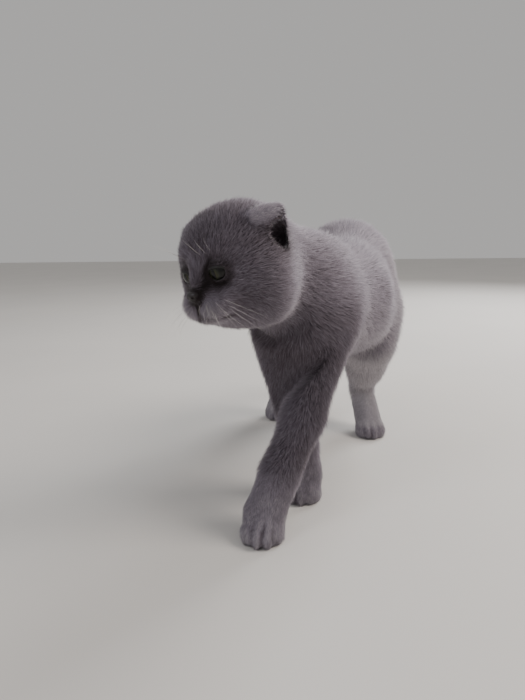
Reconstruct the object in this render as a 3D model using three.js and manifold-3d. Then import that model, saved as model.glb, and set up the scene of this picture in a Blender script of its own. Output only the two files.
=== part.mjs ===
import * as THREE from 'three';
import { mergeVertices } from 'three/addons/utils/BufferGeometryUtils.js';
import Module from 'manifold-3d';

// A Scottish Fold cat at life size, walking, with its head turned to its right.
// Millimetres, +Z up. The cat faces -Y, its left side is +X, and it stands on z = 0.
// The flesh is one smooth form out to the tips of the coat, parted by thin cuts.

const wasm = await Module();
wasm.setup();

const at = (x, y, z) => new THREE.Vector3(x, y, z);
const degrees = THREE.MathUtils.degToRad;

// Driving sizes
const GAP = 0.3;
const FAR = 400;
const BODY_BLEND = 9;
const LIMB_BLEND = 6;
const FACE_BLEND = 3.2;
const TOE_BLEND = 0.9;
const SOLE_DIP = 1.6;
const EYEBALL = 10.4;
const LID = 1.7;
const EYE_OPENING = { width: 16, above: 4, below: 6.2 };
const DISH = { ahead: 17, radius: 12.5 };
const EAR_THICKNESS = 3.2;
const EAR_SLOPE = 2.5;
const EAR_HOLLOW = { out: 3.5, across: 4.5, up: -7.5, wide: 9, deep: 8.5, tall: 12 };
const MOUTH_GROOVE = 0.9;

// Trunk joints
const WITHERS = at(-3, -72, 226);
const CHEST = at(-3, -84, 196);
const BRISKET = at(-4, -106, 152);
const STERNUM = at(3, -30, 183);
const RIBS = at(10, 8, 198);
const BELLY = at(10, 32, 178);
const LOIN = at(8, 72, 222);
const RUMP = at(4, 106, 231);
const NECK_ROOT = at(-10, -98, 224);
const NECK_TOP = at(-35, -142, 250);

// Head, in its own frame: face to -y, the cat's left to +x
const HEAD = {
  centre: at(-46, -176, 239),
  turn: new THREE.Euler(degrees(17), degrees(-7), degrees(-25), 'ZXY'),
};
const EYE = at(16, -29.8, 3);
const EYE_AIM = at(0.24, -0.96, 0.06).normalize();
const NOSE = at(0, -53.6, -8.6);

// Ear frame: out of the cup, across it to the rear edge, and up
const EAR_ROOT = at(38.8, 5.2, 20);
const EAR_OUT = at(0.75, -0.66, 0).normalize();
const EAR_ACROSS = at(0.66, 0.75, 0).normalize();

// Limb joints with the radius of the coat there
const FORELEG_LEFT = {
  joints: [
    at(9, -88, 196), at(7, -110, 168), at(5, -121, 136),
    at(2, -141, 98), at(-14, -163, 55), at(-21, -174, 30),
  ],
  radii: [24, 23, 21.5, 19.5, 17, 16],
  paw: at(-25.5, -184, 0),
  heading: degrees(16),
  inner: -1,
};
const FORELEG_RIGHT = {
  joints: [
    at(-24, -84, 196), at(-27, -96, 168), at(-25, -94, 136),
    at(-17, -98, 98), at(-12, -98, 55), at(-10, -98, 30),
  ],
  radii: [28, 26, 22, 19, 17, 16],
  paw: at(-7, -102, 0),
  heading: degrees(-8),
  inner: 1,
};
const HINDLEG_LEFT = {
  joints: [
    at(27, 116, 210), at(40, 94, 170), at(38, 74, 128),
    at(33, 98, 92), at(24, 124, 55), at(33, 108, 30), at(38, 98, 17),
  ],
  radii: [38, 35, 31, 25, 14, 12, 13],
  paw: at(41, 89, 0),
  heading: degrees(14),
};
const HINDLEG_RIGHT = {
  joints: [
    at(-24, 116, 212), at(-44, 98, 172), at(-55, 80, 136),
    at(-71, 118, 104), at(-86, 156, 76), at(-92, 142, 32), at(-94, 137, 18),
  ],
  radii: [38, 35, 30, 23, 15.5, 13.5, 14],
  paw: at(-94, 130, 0),
  heading: degrees(-10),
};
const TAIL = {
  joints: [at(5, 140, 232), at(6, 176, 218), at(8, 212, 190), at(9, 238, 152), at(9, 252, 112), at(9, 262, 78)],
  radii: [20, 18, 17, 16.5, 16, 12.5],
};

// Forms: functions of a point, below 0 inside, 0 on the surface and above 0 outside

function bar(start, end, startRadius, endRadius) {
  const axis = end.clone().sub(start);
  const lengthSq = axis.lengthSq();
  const near = new THREE.Vector3();
  return (p) => {
    const share = THREE.MathUtils.clamp(near.copy(p).sub(start).dot(axis) / lengthSq, 0, 1);
    near.copy(start).addScaledVector(axis, share);
    return p.distanceTo(near) - THREE.MathUtils.lerp(startRadius, endRadius, share);
  };
}

function mass(centre, radii, turn = 0) {
  const q = new THREE.Vector3();
  const up = at(0, 0, 1);
  return (p) => {
    q.copy(p).sub(centre).applyAxisAngle(up, -turn).divide(radii);
    const near = q.length();
    const slope = q.divide(radii).length();
    return slope > 0 ? (near * (near - 1)) / slope : -radii.y;
  };
}

function chain({ joints, radii }) {
  return joints.slice(1).map((joint, i) => bar(joints[i], joint, radii[i], radii[i + 1]));
}

function blend(width, ...forms) {
  return (p) => {
    const distances = forms.map((form) => form(p));
    const nearest = Math.min(...distances);
    const sum = distances.reduce((total, d) => total + Math.exp((nearest - d) / width), 0);
    return nearest - width * Math.log(sum);
  };
}

function carve(width, form, tool) {
  return (p) => {
    const [kept, cut] = [form(p), -tool(p)];
    const nearest = Math.max(kept, cut);
    return nearest + width * Math.log(Math.exp((kept - nearest) / width) + Math.exp((cut - nearest) / width));
  };
}

function bothSides(makeForm) {
  return [makeForm(1), makeForm(-1)];
}

// Surface making

function surfaceDistance(form, origin, direction, reach, level) {
  const probe = new THREE.Vector3();
  const value = (s) => form(probe.copy(origin).addScaledVector(direction, s)) - level;
  const step = reach / 40;
  let near = 0;
  let far = step;
  while (far < reach && value(far) < 0) {
    near = far;
    far += step;
  }
  for (let i = 0; i < 14; i += 1) {
    const middle = (near + far) / 2;
    if (value(middle) < 0) near = middle;
    else far = middle;
  }
  return near;
}

function unitBall(around, along) {
  const ball = new THREE.SphereGeometry(1, around, along);
  ball.deleteAttribute('normal');
  ball.deleteAttribute('uv');
  return mergeVertices(ball, 1e-5);
}

// A ball whose rings are strung along a path and pushed out to the form
function wrap(form, joints, { around, along, reach, ends = 4, level = 0 }) {
  const geometry = unitBall(around, along);
  const position = geometry.attributes.position;
  const path = new THREE.CatmullRomCurve3(joints);
  const steps = along - 2 * ends;
  const origins = path.getSpacedPoints(steps);
  const frames = path.computeFrenetFrames(steps);
  const unit = new THREE.Vector3();
  const direction = new THREE.Vector3();
  for (let i = 0; i < position.count; i += 1) {
    unit.fromBufferAttribute(position, i);
    const ring = Math.round((Math.acos(THREE.MathUtils.clamp(unit.y, -1, 1)) / Math.PI) * along);
    const station = THREE.MathUtils.clamp(ring - ends, 0, steps);
    const lean = ((ring - ends - station) / ends) * (Math.PI / 2);
    const spread = Math.hypot(unit.x, unit.z) || 1;
    direction.set(0, 0, 0)
      .addScaledVector(frames.normals[station], (unit.x / spread) * Math.cos(lean))
      .addScaledVector(frames.binormals[station], (unit.z / spread) * Math.cos(lean))
      .addScaledVector(frames.tangents[station], Math.sin(lean))
      .normalize();
    const distance = surfaceDistance(form, origins[station], direction, reach, level);
    const point = origins[station].clone().addScaledVector(direction, distance);
    position.setXYZ(i, point.x, point.y, point.z);
  }
  return solid(geometry);
}

// A ball pushed out from one point, its pole to -y, with rings closer together in front
function puff(form, centre, { around, along, reach, front = 1, level = 0 }) {
  const geometry = unitBall(around, along);
  const position = geometry.attributes.position;
  const unit = new THREE.Vector3();
  const direction = new THREE.Vector3();
  for (let i = 0; i < position.count; i += 1) {
    unit.fromBufferAttribute(position, i);
    const polar = Math.PI * (Math.acos(THREE.MathUtils.clamp(unit.y, -1, 1)) / Math.PI) ** front;
    const spread = Math.hypot(unit.x, unit.z) || 1;
    direction.set((unit.x / spread) * Math.sin(polar), -Math.cos(polar), (unit.z / spread) * Math.sin(polar) * -1);
    const distance = surfaceDistance(form, centre, direction, reach, level);
    const point = centre.clone().addScaledVector(direction, distance);
    position.setXYZ(i, point.x, point.y, point.z);
  }
  return solid(geometry);
}

// Solids: closed surfaces that can be joined and cut

function solid(geometry) {
  const source = geometry.clone();
  source.deleteAttribute('normal');
  source.deleteAttribute('uv');
  const welded = mergeVertices(source, 1e-4);
  return new wasm.Manifold(new wasm.Mesh({
    numProp: 3,
    vertProperties: new Float32Array(welded.attributes.position.array),
    triVerts: new Uint32Array(welded.index.array),
  }));
}

function ball(centre, radius, around = 14, along = 10) {
  return solid(new THREE.SphereGeometry(radius, around, along).translate(centre.x, centre.y, centre.z));
}

// The side of a plane that its normal points to, drawn back by half the gap
function keep(piece, point, normal, back = GAP / 2) {
  const n = normal.clone().normalize();
  return piece.trimByPlane(n.toArray(), n.dot(point) + back);
}

// A big block from an edge point, growing along outward and onward
function block(corner, outward, onward, margin) {
  const x = outward.clone().normalize();
  const z = new THREE.Vector3().crossVectors(x, onward).normalize();
  const y = new THREE.Vector3().crossVectors(z, x);
  const frame = new THREE.Matrix4().makeBasis(x, y, z).setPosition(corner);
  const start = FAR / 2 - margin;
  return solid(new THREE.BoxGeometry(FAR, FAR, FAR).translate(start, start, 0).applyMatrix4(frame));
}

function largest(piece) {
  return piece.decompose().sort((a, b) => b.volume() - a.volume())[0];
}

function sweep(points, radius, sides, steps) {
  const section = new THREE.Shape().absarc(0, 0, radius, 0, 2 * Math.PI);
  const path = new THREE.CatmullRomCurve3(points);
  return solid(new THREE.ExtrudeGeometry(section, {
    extrudePath: path, steps, curveSegments: sides / 2, bevelEnabled: false,
  }));
}

const cat = new THREE.Group();
const coat = { color: 0x7d767a, roughness: 0.95, metalness: 0 };

function addPart(name, piece, finish, parent = cat) {
  const mesh = largest(piece).getMesh();
  const geometry = new THREE.BufferGeometry();
  geometry.setAttribute('position', new THREE.BufferAttribute(new Float32Array(mesh.vertProperties), 3));
  geometry.setIndex(new THREE.BufferAttribute(new Uint32Array(mesh.triVerts), 1));
  geometry.computeVertexNormals();
  const part = new THREE.Mesh(geometry, new THREE.MeshStandardMaterial(finish));
  part.name = name;
  parent.add(part);
}

// Paws

function pawForm({ paw, heading, inner }, size) {
  const place = (side, forward, height) => at(side, -forward, height)
    .multiplyScalar(size)
    .applyAxisAngle(at(0, 0, 1), heading)
    .add(paw);
  const toe = (side, forward, width) => mass(
    place(side, forward, 8 / size - SOLE_DIP),
    at(width, 10.5, 9.2).multiplyScalar(size),
    heading - degrees(side * 1.2),
  );
  const toes = blend(
    TOE_BLEND,
    toe(-13.2, 7, 5.8),
    toe(-4.8, 13, 5.3),
    toe(4.8, 13, 5.3),
    toe(13.2, 7, 5.8),
  );
  const foot = mass(place(0, -1, 10), at(14, 14, 12).multiplyScalar(size), heading);
  const forms = [toes, foot];
  if (inner) forms.push(mass(place(inner * 11, -6, 24), at(4.5, 5, 6.5)));
  return blend(2, ...forms);
}

// Head

const pair = (x, y, z, rx, ry, rz, turn = 0) => bothSides(
  (side) => mass(at(side * x, y, z), at(rx, ry, rz), side * degrees(turn)),
);
const skullForms = [
  mass(at(0, 7, 6), at(41.5, 42, 39)),
  ...pair(20, 3, 18, 21, 24, 20),
  ...pair(26.5, -3, -15, 23.5, 25, 26),
  ...pair(20.5, 0, -28, 21, 21, 23),
  mass(at(0, -13, -20), at(26, 27, 22)),
];

function headForm(neck) {
  const skull = blend(BODY_BLEND, ...skullForms, neck);
  const features = blend(
    FACE_BLEND,
    skull,
    bar(at(0, -30, 10), at(0, -44, -5), 11, 8),
    ...pair(8.6, -43, -20, 10.5, 12.5, 10.2, 16),
    ...pair(16, -35, -19, 12, 13.5, 11.5, 30),
    ...pair(16, -25, 19, 13, 10, 9.5, 20),
    mass(at(0, -40, -29), at(11, 11, 7)),
  );
  const dishes = blend(1, ...bothSides((side) => {
    const centre = EYE.clone().addScaledVector(EYE_AIM, DISH.ahead).multiply(at(side, 1, 1));
    return mass(centre, at(DISH.radius, DISH.radius, DISH.radius));
  }));
  const lid = EYEBALL + LID;
  return blend(1.2, carve(1.6, features, dishes), ...pair(EYE.x, EYE.y, EYE.z, lid, lid, lid));
}

function noseForm() {
  return blend(
    1.2,
    mass(NOSE.clone().add(at(0, 0, 0.8)), at(4.4, 2.8, 2.6)),
    ...bothSides((side) => mass(NOSE.clone().add(at(side * 3.2, 1, 0.3)), at(2.4, 2.4, 2.2))),
    mass(NOSE.clone().add(at(0, 0.6, -2.8)), at(1.7, 2.4, 2.5)),
  );
}

function eyeOpening(side) {
  const { width, above, below } = EYE_OPENING;
  const half = (side * width) / 2;
  const outline = new THREE.Shape()
    .moveTo(-half, -1)
    .quadraticCurveTo(-half * 0.55, above * 1.25, 0, above)
    .quadraticCurveTo(half * 0.7, above, half, 0.8)
    .bezierCurveTo(half * 0.8, -below * 1.3, -half * 0.5, -below * 1.3, -half, -1);
  const prism = new THREE.ExtrudeGeometry(outline, { depth: 30, curveSegments: 6, bevelEnabled: false })
    .translate(0, 0, EYEBALL * 0.55);
  const aim = EYE_AIM.clone().multiply(at(side, 1, 1));
  const across = new THREE.Vector3().crossVectors(at(0, 0, 1), aim).normalize();
  const up = new THREE.Vector3().crossVectors(aim, across);
  const frame = new THREE.Matrix4()
    .makeBasis(across, up, aim)
    .setPosition(EYE.clone().multiply(at(side, 1, 1)));
  return solid(prism.applyMatrix4(frame));
}

// The line of the mouth: down from the nose, then back under each whisker pad
function mouth(form) {
  const onFace = (x, y, z) => {
    const aim = at(x, y, z).normalize();
    return aim.clone().multiplyScalar(surfaceDistance(form, at(0, 0, 0), aim, 90, 0));
  };
  const philtrum = sweep([onFace(0, -55, -13), onFace(0, -55, -18), onFace(0, -54, -24)], MOUTH_GROOVE, 6, 5);
  return bothSides((side) => sweep([
    onFace(0, -54, -24),
    onFace(side * 5, -53, -26.5),
    onFace(side * 10, -49, -28.5),
    onFace(side * 15, -44, -30),
    onFace(side * 19, -39, -29.5),
  ], MOUTH_GROOVE, 6, 12)).reduce((all, line) => all.add(line), philtrum);
}

// Ears: a scooped sheet whose upper half is folded forward over the cup

function earSheet(side, thickness) {
  const rows = [
    { out: -6, up: -20, front: -6, rear: 14, curl: 11 },
    { out: -7, up: -3, front: -11, rear: 17, curl: 11 },
    { out: -5, up: 9, front: -13, rear: 18.5, curl: 8 },
    { out: -1, up: 17, front: -14, rear: 18, curl: 4 },
    { out: 6, up: 17.5, front: -14, rear: 18, curl: 2 },
    { out: 11.5, up: 11.5, front: -12, rear: 19, curl: 0 },
    { out: 13.5, up: 3.5, front: -8, rear: 20, curl: -1 },
  ];
  const line = new THREE.CatmullRomCurve3(rows.map(({ out, up, curl }) => at(out, curl, up)));
  const ends = new THREE.CatmullRomCurve3(rows.map(({ front, rear }) => at(front, rear, 0)));
  const sheetPoint = (a, b) => {
    const v = THREE.MathUtils.clamp((b + 1) / 2, 0, 1);
    const { x: out, y: curl, z: up } = line.getPoint(v);
    const { x: front, y: rear } = ends.getPoint(v);
    const u = a / Math.sqrt(Math.max(1 - b * b, 1e-6));
    const taper = Math.sqrt(Math.max(1 - b ** 6, 0));
    const across = (front + rear) / 2 + ((rear - front) / 2) * u * taper;
    return EAR_ROOT.clone()
      .addScaledVector(EAR_OUT, out + curl * u * u)
      .addScaledVector(EAR_ACROSS, across)
      .add(at(0, 0, up - EAR_SLOPE * u * u));
  };
  const geometry = unitBall(20, 18);
  const position = geometry.attributes.position;
  const step = 0.02;
  for (let i = 0; i < position.count; i += 1) {
    const a = position.getX(i);
    const b = THREE.MathUtils.clamp(position.getY(i), -0.995, 0.995);
    const c = position.getZ(i);
    const middle = sheetPoint(a, b);
    const alongA = sheetPoint(a + step, b).sub(sheetPoint(a - step, b));
    const alongB = sheetPoint(a, b + step * 0.2).sub(sheetPoint(a, b - step * 0.2));
    const normal = alongA.cross(alongB).normalize();
    middle.addScaledVector(normal, (thickness / 2) * Math.sign(c) * Math.abs(c) ** 0.7);
    position.setXYZ(i, middle.x, middle.y, middle.z);
  }
  const sheet = solid(geometry);
  return side > 0 ? sheet : sheet.mirror([1, 0, 0]);
}

// The hollow of the ear in the head, under the flap
function earHollow(side) {
  const { out, across, up, wide, deep, tall } = EAR_HOLLOW;
  const centre = EAR_ROOT.clone()
    .addScaledVector(EAR_OUT, out)
    .addScaledVector(EAR_ACROSS, across)
    .add(at(0, 0, up));
  const frame = new THREE.Matrix4()
    .makeBasis(EAR_ACROSS, EAR_OUT, at(0, 0, -1))
    .setPosition(centre);
  const hollow = solid(new THREE.SphereGeometry(1, 14, 10).scale(wide, deep, tall).applyMatrix4(frame));
  return side > 0 ? hollow : hollow.mirror([1, 0, 0]);
}

// The whole flesh form

const trunk = [
  bar(WITHERS, CHEST, 22, 40),
  mass(CHEST, at(40, 54, 64)),
  bar(CHEST, RIBS, 41, 53),
  mass(STERNUM, at(43, 56, 54)),
  mass(BELLY, at(52, 72, 53)),
  bar(RIBS, LOIN, 52, 44),
  mass(RUMP, at(54, 58, 50)),
  mass(BRISKET, at(27, 26, 36)),
  ...bothSides((side) => bar(at(8 + side * 22, 20, 172), at(4 + side * 32, 84, 150), 31, 34)),
  ...bothSides((side) => bar(at(side * 18 - 3, -66, 230), at(side * 21 - 3, -98, 188), 14, 20)),
];
const neckForms = [
  bar(NECK_ROOT, NECK_TOP, 36, 31),
  mass(at(-22, -124, 206), at(31, 34, 36)),
];
const upperLimbs = [FORELEG_LEFT, FORELEG_RIGHT, HINDLEG_LEFT, HINDLEG_RIGHT]
  .map((leg) => chain(leg)[0]);
const rootedTail = blend(LIMB_BLEND, ...chain(TAIL));
const headMatrix = new THREE.Matrix4().makeRotationFromEuler(HEAD.turn).setPosition(HEAD.centre);
const toHead = headMatrix.clone().invert();
const inHead = new THREE.Vector3();
const skull = blend(BODY_BLEND, ...skullForms);
const skullInBody = (p) => skull(inHead.copy(p).applyMatrix4(toHead));
const flesh = (...limbs) => blend(BODY_BLEND, ...trunk, ...neckForms, skullInBody, ...limbs);
const wholeLimb = (leg, size) => blend(LIMB_BLEND, ...chain(leg), pawForm(leg, size));

// Where the flesh is parted
const faceward = at(0, -1, 0).applyEuler(HEAD.turn);
const NAPE = HEAD.centre.clone().addScaledVector(faceward, -30);
const NECK_CUT = { point: at(-2, -108, 236), normal: at(-0.38, -0.78, 0.5) };
const TAIL_CUT = { point: at(6, 164, 224), normal: at(0, 0.9, -0.43) };
const TAIL_MIDDLE = { point: TAIL.joints[3], normal: at(0, 0.5, -0.87) };
const SHOULDER_CUT = {
  left: { corner: at(22, -72, 156), outward: at(0.74, 0, -0.67), onward: at(0.1, -1, -0.15) },
  right: { corner: at(-26, -60, 156), outward: at(-0.74, 0, -0.67), onward: at(-0.1, -1, -0.15) },
};
const HIP_CUT = {
  left: { corner: at(30, 44, 170), outward: at(0.93, 0.05, -0.36), onward: at(-0.15, 1, -0.2) },
  right: { corner: at(-26, 48, 168), outward: at(-0.93, 0.05, -0.36), onward: at(0.15, 1, -0.2) },
};
const FORELEGS_CUT = { point: at(-8, -107, 136), normal: at(0.6, -0.8, 0.26) };
const HINDLEGS_CUT = { point: at(3, 80, 120), normal: at(1, 0, 0) };
const floorUp = at(0, 0, 1);

// The head's form, and the room that its neighbours leave it
const inBody = new THREE.Vector3();
const napeForm = blend(BODY_BLEND, ...neckForms);
const face = headForm((p) => napeForm(inBody.copy(p).applyMatrix4(headMatrix)));
const HEAD_MESH = { around: 44, along: 36, reach: 80, front: 1.25 };
const headRoom = keep(puff(face, at(0, 0, 0), { ...HEAD_MESH, level: GAP }), at(0, 30, 0), at(0, -1, 0))
  .transform(headMatrix.elements);

function limb(form, leg, cut, size) {
  const region = block(cut.corner, cut.outward, cut.onward, -GAP / 2);
  const piece = wrap(form, leg.joints, size).intersect(region).subtract(headRoom);
  return keep(piece, NECK_CUT.point, NECK_CUT.normal.clone().negate());
}

function addForeleg(side, leg, cut, other) {
  const [wristTop, wrist] = leg.joints.slice(-2);
  const down = wrist.clone().sub(wristTop);
  const point = wristTop.clone().lerp(wrist, 0.35);
  const form = flesh(wholeLimb(leg, 1));
  const towardOther = FORELEGS_CUT.normal.clone().multiplyScalar(side === 'left' ? -1 : 1);
  const otherRoom = block(other.corner, other.outward, other.onward, GAP / 2);
  const whole = limb(form, leg, cut, { around: 22, along: 30, reach: 62 })
    .subtract(keep(otherRoom, FORELEGS_CUT.point, towardOther, -GAP / 2));
  addPart(`foreleg_${side}`, keep(whole, point, down.clone().negate()), coat);
  addPaw(`forepaw_${side}`, form, leg, point, down);
}

function addHindleg(side, leg, cut) {
  const [hip, mid, knee, calf, hock, instep] = leg.joints;
  const form = flesh(wholeLimb(leg, 0.94));
  const upper = { joints: [hip, mid, knee.clone().lerp(mid, -0.3)] };
  const lower = [knee, calf, hock.clone().lerp(calf, -0.2)];
  const kneeCut = knee.clone().lerp(calf, 0.35);
  const kneeAxis = knee.clone().sub(mid).normalize().add(calf.clone().sub(knee).normalize());
  const foot = instep.clone().sub(hock);
  const footCut = hock.clone().lerp(instep, 0.45);
  const thigh = limb(form, upper, cut, { around: 26, along: 24, reach: 74, ends: 6 });
  const shin = wrap(form, lower, { around: 22, along: 24, reach: 60, ends: 6 });
  const towardLeft = HINDLEGS_CUT.normal.clone().multiplyScalar(side === 'left' ? 1 : -1);
  const thighs = keep(thigh, kneeCut, kneeAxis.clone().negate());
  const shins = keep(keep(shin, kneeCut, kneeAxis), footCut, foot.clone().negate());
  addPart(`thigh_${side}`, keep(thighs, HINDLEGS_CUT.point, towardLeft), coat);
  addPart(`shin_${side}`, keep(shins, HINDLEGS_CUT.point, towardLeft), coat);
  addPaw(`hindpaw_${side}`, form, leg, footCut, foot);
}

function addPaw(name, form, leg, point, down) {
  const sole = leg.paw.clone().add(at(0, -5, 9));
  const start = point.clone().addScaledVector(down.clone().normalize(), -10);
  const whole = wrap(form, [start, start.clone().lerp(sole, 0.5), sole], {
    around: 32, along: 16, reach: 34, ends: 6,
  });
  addPart(name, keep(keep(whole, point, down), at(0, 0, -GAP / 2), floorUp), coat);
}

function addTrunk() {
  const spine = [at(0, -84, 210), at(6, -30, 206), at(10, 30, 204), at(7, 80, 218), at(5, 112, 224)];
  const form = flesh(...upperLimbs, rootedTail);
  let torso = wrap(form, spine, { around: 32, along: 32, reach: 120, ends: 7 });
  for (const cut of [SHOULDER_CUT.left, SHOULDER_CUT.right, HIP_CUT.left, HIP_CUT.right]) {
    torso = torso.subtract(block(cut.corner, cut.outward, cut.onward, GAP / 2));
  }
  torso = keep(torso, NECK_CUT.point, NECK_CUT.normal.clone().negate());
  torso = keep(torso, TAIL_CUT.point, TAIL_CUT.normal.clone().negate());
  addPart('torso', torso.subtract(headRoom), coat);

  const neck = wrap(form, [at(0, -88, 222), at(-14, -118, 232), at(-32, -154, 240)], {
    around: 32, along: 20, reach: 90,
  });
  addPart('neck', keep(keep(neck, NECK_CUT.point, NECK_CUT.normal), NAPE, faceward.clone().negate()), coat);

  const tail = keep(wrap(form, TAIL.joints, { around: 16, along: 26, reach: 40 }), TAIL_CUT.point, TAIL_CUT.normal);
  addPart('tail_base', keep(tail, TAIL_MIDDLE.point, TAIL_MIDDLE.normal.clone().negate()), coat);
  addPart('tail_end', keep(tail, TAIL_MIDDLE.point, TAIL_MIDDLE.normal), coat);
}

function addHead() {
  const group = new THREE.Group();
  group.position.copy(HEAD.centre);
  group.rotation.copy(HEAD.turn);
  cat.add(group);

  const nose = noseForm();
  let head = puff(face, at(0, 0, 0), HEAD_MESH);
  head = keep(head, at(0, 30, 0), at(0, -1, 0));
  head = head.subtract(puff(nose, NOSE, { around: 20, along: 14, reach: 12, level: GAP }));
  head = head.subtract(mouth(face));
  for (const side of [1, -1]) {
    const eye = EYE.clone().multiply(at(side, 1, 1));
    head = head.subtract(ball(eye, EYEBALL + GAP)).subtract(eyeOpening(side)).subtract(earHollow(side));
    addPart(side > 0 ? 'eye_left' : 'eye_right', ball(eye, EYEBALL), { color: 0x4f5a3c, roughness: 0.1, metalness: 0 }, group);
  }
  const around = puff(face, at(0, 0, 0), { ...HEAD_MESH, level: GAP });
  for (const side of [1, -1]) {
    const ear = earSheet(side, EAR_THICKNESS).subtract(around);
    addPart(side > 0 ? 'ear_left' : 'ear_right', ear, { ...coat, color: 0x84797a }, group);
  }
  addPart('head', head, { ...coat, color: 0x6c656a }, group);

  let leather = puff(nose, NOSE, { around: 20, along: 14, reach: 12 });
  for (const side of [1, -1]) {
    leather = leather.subtract(ball(NOSE.clone().add(at(side * 2.8, -2.5, -0.4)), 1.2, 8, 6));
  }
  addPart('nose', leather, { color: 0x2b2326, roughness: 0.5, metalness: 0 }, group);
}

addTrunk();
addForeleg('left', FORELEG_LEFT, SHOULDER_CUT.left, SHOULDER_CUT.right);
addForeleg('right', FORELEG_RIGHT, SHOULDER_CUT.right, SHOULDER_CUT.left);
addHindleg('left', HINDLEG_LEFT, HIP_CUT.left);
addHindleg('right', HINDLEG_RIGHT, HIP_CUT.right);
addHead();

// The origin is on the floor, under the middle of the whole cat
cat.updateMatrixWorld(true);
const bounds = new THREE.Box3().setFromObject(cat, true);
cat.position.set(-(bounds.min.x + bounds.max.x) / 2, -(bounds.min.y + bounds.max.y) / 2, -bounds.min.z);

export default cat;
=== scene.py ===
# A Scottish Fold cat walking: skin, plush coat, eyes, nose leather, whiskers and a plain studio.
import math

import bmesh
import bpy
import numpy as np
from mathutils import Matrix, Vector
from mathutils.kdtree import KDTree


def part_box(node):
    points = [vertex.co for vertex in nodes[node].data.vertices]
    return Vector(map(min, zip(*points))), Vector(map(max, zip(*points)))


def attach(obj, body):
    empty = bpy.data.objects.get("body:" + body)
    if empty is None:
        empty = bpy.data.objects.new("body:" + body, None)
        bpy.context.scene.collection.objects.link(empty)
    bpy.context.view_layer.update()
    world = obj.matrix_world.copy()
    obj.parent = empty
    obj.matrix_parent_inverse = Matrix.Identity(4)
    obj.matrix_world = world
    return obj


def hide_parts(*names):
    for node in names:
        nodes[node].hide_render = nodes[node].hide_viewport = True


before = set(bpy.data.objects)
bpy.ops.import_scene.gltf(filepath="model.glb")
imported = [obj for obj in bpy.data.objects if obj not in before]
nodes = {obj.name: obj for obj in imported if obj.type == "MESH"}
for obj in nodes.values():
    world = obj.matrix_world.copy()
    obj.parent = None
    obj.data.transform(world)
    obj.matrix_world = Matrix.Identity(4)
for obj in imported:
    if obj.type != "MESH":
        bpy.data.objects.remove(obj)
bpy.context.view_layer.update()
rng = np.random.default_rng(9)

MM = 0.001
SIDES = {"left": 1, "right": -1}
FLESH = [name for name in nodes if name != "nose" and not name.startswith("eye")]

# Skin mesh: grid of the remesh, spread of each copy so that the cuts close, and its final size
SKIN_GRID = 1.25 * MM
CUT_CLOSING = 0.3 * MM
MERGE_DISTANCE = 0.01 * MM
SKIN_TRIANGLES = 150_000

# Where the skin keeps its detail: distance from the head's middle and height over the floor, both in mm,
# from full detail to none
HEAD_MIDDLE = (0, -14, 0)
HEAD_DETAIL = (44, 62)
FEET_DETAIL = (18, 40)

# Spots spread over the CAD triangles, by area, to find the part that a point of the skin belongs to
SPOT_AREA = 6e-6
SPOTS_AT_MOST = 12

# Head, in its own frame: face to -y, the cat's left to +x. Lengths with MM are in metres, places are in mm
HEAD_TURN = (17, -7, -25)
EYE = Vector((16, -29.8, 3)) * MM
NOSE = (0, -53.6, -8.6)
EYE_AIM = Vector((0.24, -0.96, 0.06)).normalized()
GAZE = Vector((0.08, -1, -0.02)).normalized()
EYEBALL = 10.4 * MM
CORNEA = {"edge": 0.72, "rise": 1.1 * MM}
EYE_OPENING = {"width": 16 * MM, "above": 4 * MM, "below": 6.2 * MM, "inner_drop": 0.9 * MM}
LID_ROLL = 0.8 * MM
IRIS = 6.6 * MM
PUPIL = (2.1 * MM, 3.9 * MM)
EAR_ROOT = (38.8, 5.2, 20)
EAR_HOLLOW = (44.4, 6.3, 12.5)
EAR_OUT = (0.75, -0.66, 0)
MOUTH = [(0, -55, -13), (0, -54, -24), (5, -53, -26.5), (10, -49, -28.5), (15, -44, -30), (19, -39, -29.5)]
# Painted shade in the crease beside the nose, from the eye's inner corner down its side
NOSE_CREASE_SHADE = [(8.5, -39, 1.5), (6.5, -46, -3), (5, -51, -8)]

# Coat on each part: depth to the tips in mm, rise of a tuft from the skin in degrees, tuft width in mm,
# and tone from 0, darkest, to 1, palest; the tones are partly the coat's own and partly painted light and
# shade, paler on the hind legs and darker on the forelegs and head
COAT = {
    "head": (5.0, 42, 0.50, 0.42),
    "ear": (1.0, 24, 0.42, 0.68),
    "neck": (8.5, 44, 0.64, 0.58),
    "torso": (9.0, 46, 0.70, 0.55),
    "tail_base": (7.0, 42, 0.76, 0.50),
    "tail_end": (6.0, 42, 0.76, 0.48),
    "foreleg": (5.0, 36, 0.56, 0.44),
    "forepaw": (1.0, 22, 0.42, 0.60),
    "thigh": (8.0, 44, 0.68, 0.78),
    "shin": (6.0, 37, 0.66, 0.84),
    "hindpaw": (1.0, 20, 0.44, 0.86),
}

# Columns of the coat's values at each point; the last is 1 where tufts grow
DEPTH, RISE, WIDTH, TONE, HAIRY = range(5)

# The short-haired face: its coat, its middle and reach, and the point that the hair of the head leaves from
FACE_COAT = (1.9, 24, 0.42)
FACE_MIDDLE = (0, -52, -6)
FACE_REACH = (20, 62)
HAIR_PARTING = (0, -50, -4)

# Bare rims: distance from the nose's middle and from the lids' edge, from bare to haired
BARE_NOSE = (5.5, 9)
BARE_LIDS = (1.5 * MM, 5 * MM)

# Depth of the coat at the bare rims and in the ear's cup, and the deeper, steeper coat of the cheeks
BARE_DEPTH = 0.5
HOLLOW_DEPTH = 1.2
RUFF = {"centre": (38, 14, -14), "sizes": (16, 14, 28), "depth": 3.0, "rise": 10}

# Rounds of averaging of the coat's values over the skin, low on the legs and above, and the heights between
LOW_ROUNDS = 24
HIGH_ROUNDS = 220
LOWER_LEGS = (95, 135)
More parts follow.
